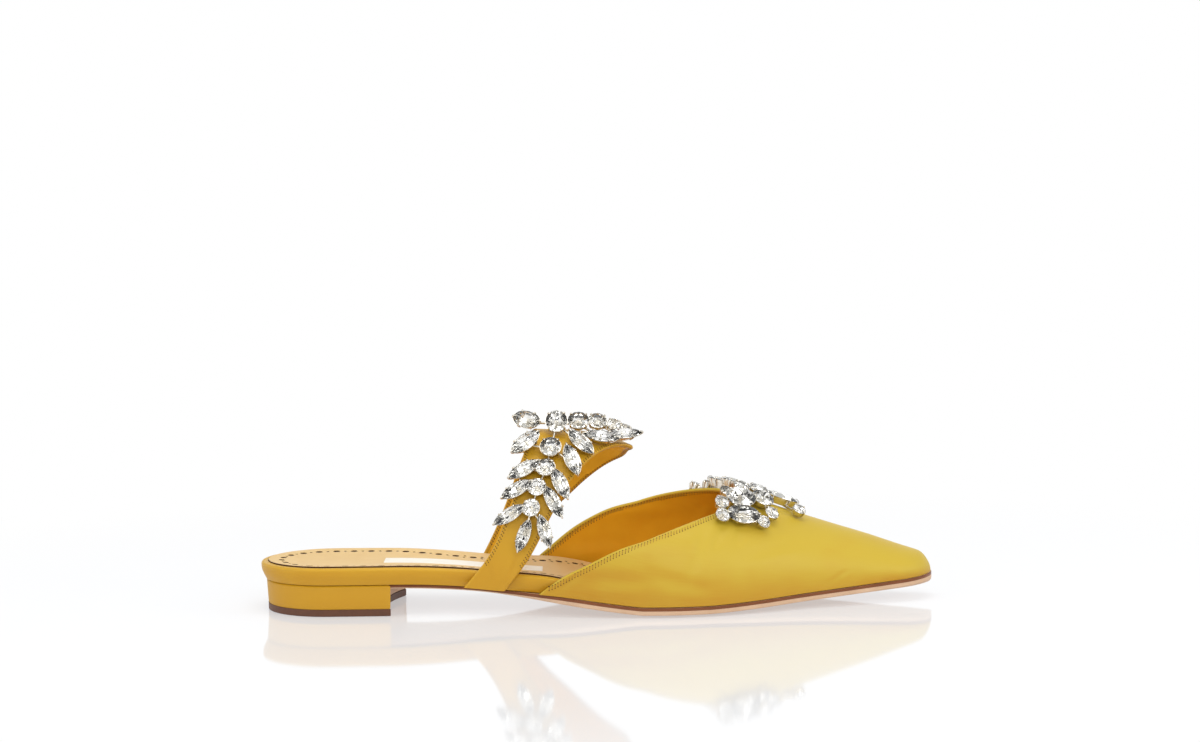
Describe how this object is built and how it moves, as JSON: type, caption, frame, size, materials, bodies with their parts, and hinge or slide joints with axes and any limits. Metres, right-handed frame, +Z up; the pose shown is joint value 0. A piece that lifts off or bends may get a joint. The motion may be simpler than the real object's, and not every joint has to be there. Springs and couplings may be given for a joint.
{
  "type": "flat pointed mule",
  "caption": "Flat satin mule with a pointed toe, an open vamp, one strap over the instep and crystal ornaments on strap and throat, standing on a low heel.",
  "frame": {"origin": "on the floor, in the middle of the top lift's ground face under the heel", "axes": "+X forward to the toe, +Y to the inner side of the foot, +Z up"},
  "size_m": [0.261, 0.0764, 0.0732],
  "materials": {
    "yellow_satin": "mustard yellow duchess satin",
    "sock_leather": "smooth nude tan leather",
    "sole_leather": "tan sole leather with a brown upper edge",
    "brown_rubber": "matt brown",
    "white_ribbon": "blank white ribbon",
    "pale_metal": "polished pale gold plating",
    "crystal": "clear faceted, foil-backed"
  },
  "bodies": {
    "root": {"heel": "yellow_satin", "top_lift": "brown_rubber", "outsole": "sole_leather", "footbed": "yellow_satin", "sock": "sock_leather", "label": "white_ribbon", "vamp": "yellow_satin", "strap": "yellow_satin", "strap_setting": "pale_metal", "strap_crystal_01": "crystal", "strap_crystal_02": "crystal", "strap_crystal_03": "crystal", "strap_crystal_04": "crystal", "strap_crystal_05": "crystal", "strap_crystal_06": "crystal", "strap_crystal_07": "crystal", "strap_crystal_08": "crystal", "strap_crystal_09": "crystal", "strap_crystal_10": "crystal", "strap_crystal_11": "crystal", "strap_crystal_12": "crystal", "strap_crystal_13": "crystal", "strap_crystal_14": "crystal", "strap_crystal_15": "crystal", "strap_crystal_16": "crystal", "strap_crystal_17": "crystal", "strap_crystal_18": "crystal", "strap_crystal_19": "crystal", "strap_crystal_20": "crystal", "strap_crystal_21": "crystal", "strap_crystal_22": "crystal", "vamp_setting": "pale_metal", "vamp_crystal_01": "crystal", "vamp_crystal_02": "crystal", "vamp_crystal_03": "crystal", "vamp_crystal_04": "crystal", "vamp_crystal_05": "crystal", "vamp_crystal_06": "crystal", "vamp_crystal_07": "crystal", "vamp_crystal_08": "crystal", "vamp_crystal_09": "crystal", "vamp_crystal_10": "crystal", "vamp_crystal_11": "crystal", "vamp_crystal_12": "crystal", "vamp_crystal_13": "crystal", "vamp_crystal_14": "crystal", "vamp_crystal_15": "crystal", "vamp_crystal_16": "crystal", "vamp_crystal_17": "crystal", "vamp_crystal_18": "crystal", "vamp_crystal_19": "crystal"}
  },
  "joints": []
}
